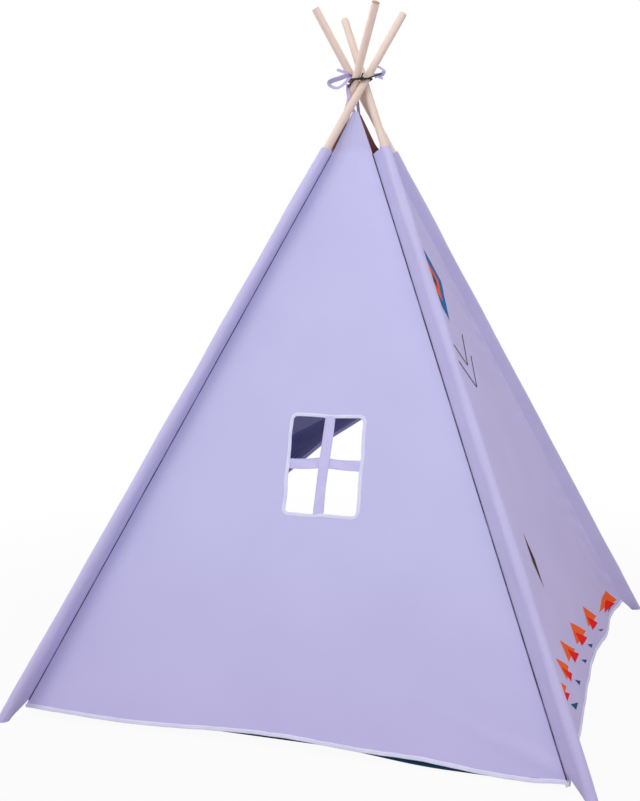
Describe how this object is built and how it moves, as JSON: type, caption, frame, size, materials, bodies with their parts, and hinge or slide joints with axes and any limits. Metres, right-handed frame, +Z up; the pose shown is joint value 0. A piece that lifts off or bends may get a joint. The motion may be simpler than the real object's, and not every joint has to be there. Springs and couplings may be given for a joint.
{
  "type": "kids teepee",
  "caption": "Square play tent of lilac cloth on crossed wooden poles, with a tied-back door, a window and a floor mat.",
  "frame": {"origin": "on the floor under the middle of the tent, where the poles' crossing stands above it", "axes": "+Z up, -Y out of the window side, +X out of the printed side, +Y out of the door"},
  "size_m": [1.2676, 1.2676, 1.5304],
  "materials": {
    "pine": "bare",
    "ferrule_steel": "plain",
    "lilac_canvas": "matte",
    "pale_binding": "matte",
    "lilac_ribbon": "satin",
    "black_elastic": "matte",
    "teal_quilt": "matte"
  },
  "bodies": {
    "floor_mat": {"floor_mat": "teal_quilt", "floor_mat_binding": "teal_quilt"},
    "lashing": {"lashing_cord": "black_elastic", "lashing_knot": "black_elastic", "lashing_tail_long": "black_elastic", "lashing_tail_short": "black_elastic", "ribbon_bow_right": "lilac_ribbon", "ribbon_bow_left": "lilac_ribbon"},
    "pole_a": {"pole_a_lower": "pine", "pole_a_middle": "pine", "pole_a_upper": "pine", "pole_a_ferrule_lower": "ferrule_steel", "pole_a_ferrule_middle": "ferrule_steel", "sleeve_a": "lilac_canvas"},
    "pole_b": {"pole_b_lower": "pine", "pole_b_middle": "pine", "pole_b_upper": "pine", "pole_b_ferrule_lower": "ferrule_steel", "pole_b_ferrule_middle": "ferrule_steel", "sleeve_b": "lilac_canvas"},
    "pole_c": {"pole_c_lower": "pine", "pole_c_middle": "pine", "pole_c_upper": "pine", "pole_c_ferrule_lower": "ferrule_steel", "pole_c_ferrule_middle": "ferrule_steel", "sleeve_c": "lilac_canvas"},
    "pole_d": {"pole_d_lower": "pine", "pole_d_middle": "pine", "pole_d_upper": "pine", "pole_d_ferrule_lower": "ferrule_steel", "pole_d_ferrule_middle": "ferrule_steel", "sleeve_d": "lilac_canvas"},
    "window_side": {"window_panel": "lilac_canvas", "window_panel_hem": "pale_binding", "window_panel_tip_tie": "lilac_ribbon", "window_binding": "pale_binding", "window_strip_upright": "lilac_canvas", "window_strip_level": "lilac_canvas"},
    "printed_side": {"printed_side_panel": "lilac_canvas", "printed_side_panel_hem": "pale_binding", "printed_side_panel_tip_tie": "lilac_ribbon"},
    "door_side": {"door_panel": "lilac_canvas", "door_panel_tip_tie": "lilac_ribbon"},
    "plain_side": {"plain_side_panel": "lilac_canvas", "plain_side_panel_hem": "pale_binding", "plain_side_panel_tip_tie": "lilac_ribbon"},
    "door_flap_left_hang": {"door_flap_left_tie": "lilac_ribbon"},
    "door_flap_right_hang": {"door_flap_right_tie": "lilac_ribbon"},
    "door_flap_left": {"door_flap_left": "lilac_canvas", "door_flap_left_binding": "pale_binding"},
    "door_flap_right": {"door_flap_right": "lilac_canvas", "door_flap_right_binding": "pale_binding"}
  },
  "joints": [
    {"name": "tent_lift", "type": "slide", "parent": "floor_mat", "child": "lashing", "axis": [0, 0, 1], "range_m": [0, 0.52]},
    {"name": "fold", "type": "hinge", "parent": "lashing", "child": "pole_a", "pos_m": [0.01054, -0.01054, 1.36], "axis": [0.7071, -0.7071, 0], "range_deg": [0, 27], "deforming": ["window_panel", "window_panel_hem", "window_panel_tip_tie", "window_binding", "window_strip_upright", "window_strip_level", "printed_side_panel", "printed_side_panel_hem", "printed_side_panel_tip_tie", "door_panel", "door_panel_tip_tie", "plain_side_panel", "plain_side_panel_hem", "plain_side_panel_tip_tie", "door_flap_left_tie", "door_flap_right_tie", "lashing_cord"]},
    {"name": "pole_b_fold", "type": "hinge", "parent": "lashing", "child": "pole_b", "pos_m": [0.01054, 0.01054, 1.36], "axis": [0.7071, 0.7071, 0], "range_deg": [0, 27]},
    {"name": "pole_c_fold", "type": "hinge", "parent": "lashing", "child": "pole_c", "pos_m": [-0.01054, 0.01054, 1.36], "axis": [-0.7071, 0.7071, 0], "range_deg": [0, 27]},
    {"name": "pole_d_fold", "type": "hinge", "parent": "lashing", "child": "pole_d", "pos_m": [-0.01054, -0.01054, 1.36], "axis": [-0.7071, -0.7071, 0], "range_deg": [0, 27]},
    {"name": "window_side_fold", "type": "hinge", "parent": "lashing", "child": "window_side", "pos_m": [0, 0, 1.36], "axis": [1, 0, 0], "range_deg": [0, 20.4]},
    {"name": "printed_side_fold", "type": "hinge", "parent": "lashing", "child": "printed_side", "pos_m": [0, 0, 1.36], "axis": [0, 1, 0], "range_deg": [0, 20.4]},
    {"name": "door_side_fold", "type": "hinge", "parent": "lashing", "child": "door_side", "pos_m": [0, 0, 1.36], "axis": [-1, 0, 0], "range_deg": [0, 20.4]},
    {"name": "plain_side_fold", "type": "hinge", "parent": "lashing", "child": "plain_side", "pos_m": [0, 0, 1.36], "axis": [0, -1, 0], "range_deg": [0, 20.4]},
    {"name": "door_flap_left_hang", "type": "hinge", "parent": "door_side", "child": "door_flap_left_hang", "pos_m": [-0.00294, 0.29951, 0.645], "axis": [0.0009, -0.9159, -0.4015], "range_deg": [-47.5, 0]},
    {"name": "door_flap_left_close", "type": "hinge", "parent": "door_flap_left_hang", "child": "door_flap_left", "pos_m": [-0.00294, 0.29951, 0.645], "axis": [0.0009, -0.9159, -0.4015], "range_deg": [-49, 0], "deforming": ["door_flap_left", "door_flap_left_binding"]},
    {"name": "door_flap_right_hang", "type": "hinge", "parent": "door_side", "child": "door_flap_right_hang", "pos_m": [-0.00294, 0.29951, 0.645], "axis": [-0.0009, 0.9159, 0.4015], "range_deg": [-47.5, 0]},
    {"name": "door_flap_right_close", "type": "hinge", "parent": "door_flap_right_hang", "child": "door_flap_right", "pos_m": [-0.00294, 0.29951, 0.645], "axis": [-0.0009, 0.9159, 0.4015], "range_deg": [-49, 0], "deforming": ["door_flap_right", "door_flap_right_binding"]}
  ],
  "couplings": [
    {"joint": "tent_lift", "follows": "fold", "m_per_rad": 1.1},
    {"joint": "pole_b_fold", "follows": "fold", "ratio": 1},
    {"joint": "pole_c_fold", "follows": "fold", "ratio": 1},
    {"joint": "pole_d_fold", "follows": "fold", "ratio": 1},
    {"joint": "window_side_fold", "follows": "fold", "ratio": 0.753},
    {"joint": "printed_side_fold", "follows": "fold", "ratio": 0.753},
    {"joint": "door_side_fold", "follows": "fold", "ratio": 0.753},
    {"joint": "plain_side_fold", "follows": "fold", "ratio": 0.753},
    {"joint": "door_flap_left_hang", "follows": "fold", "ratio": -1.74},
    {"joint": "door_flap_right_hang", "follows": "fold", "ratio": -1.74}
  ]
}
